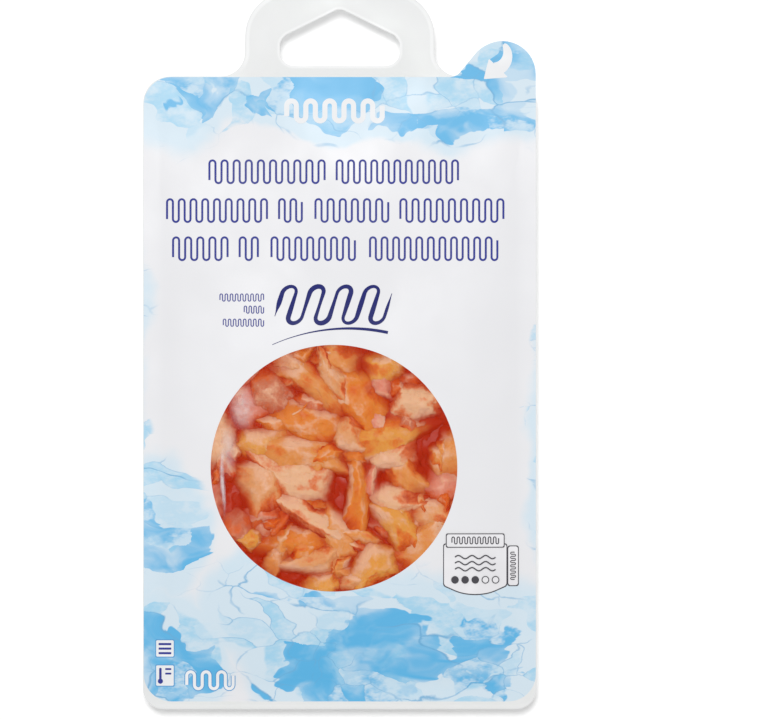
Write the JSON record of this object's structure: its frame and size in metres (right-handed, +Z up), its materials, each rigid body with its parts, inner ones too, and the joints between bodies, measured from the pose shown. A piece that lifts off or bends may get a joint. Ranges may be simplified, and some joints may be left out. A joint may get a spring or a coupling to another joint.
{
  "type": "pack of smoked salmon",
  "caption": "Retail pack of smoked salmon offcuts: a shallow tray with a hanging tab, closed by a clear sealing film and a printed film with a peel tab and a round window.",
  "frame": {"origin": "middle of the pack's outline, on the surface it lies on", "axes": "+Y along the pack towards its hanging tab, +Z up through the lid, +X across it"},
  "size_m": [0.13, 0.237, 0.0151],
  "materials": {
    "tray": "satin, thermoformed sheet",
    "salmon": "moist, softly translucent fish",
    "sealing_film": "clear, glossy film",
    "printed_film": "satin, printed film"
  },
  "bodies": {
    "root": {"tray": "tray", "salmon": "salmon", "sealing_film": "sealing_film", "printed_film": "printed_film"}
  },
  "joints": []
}
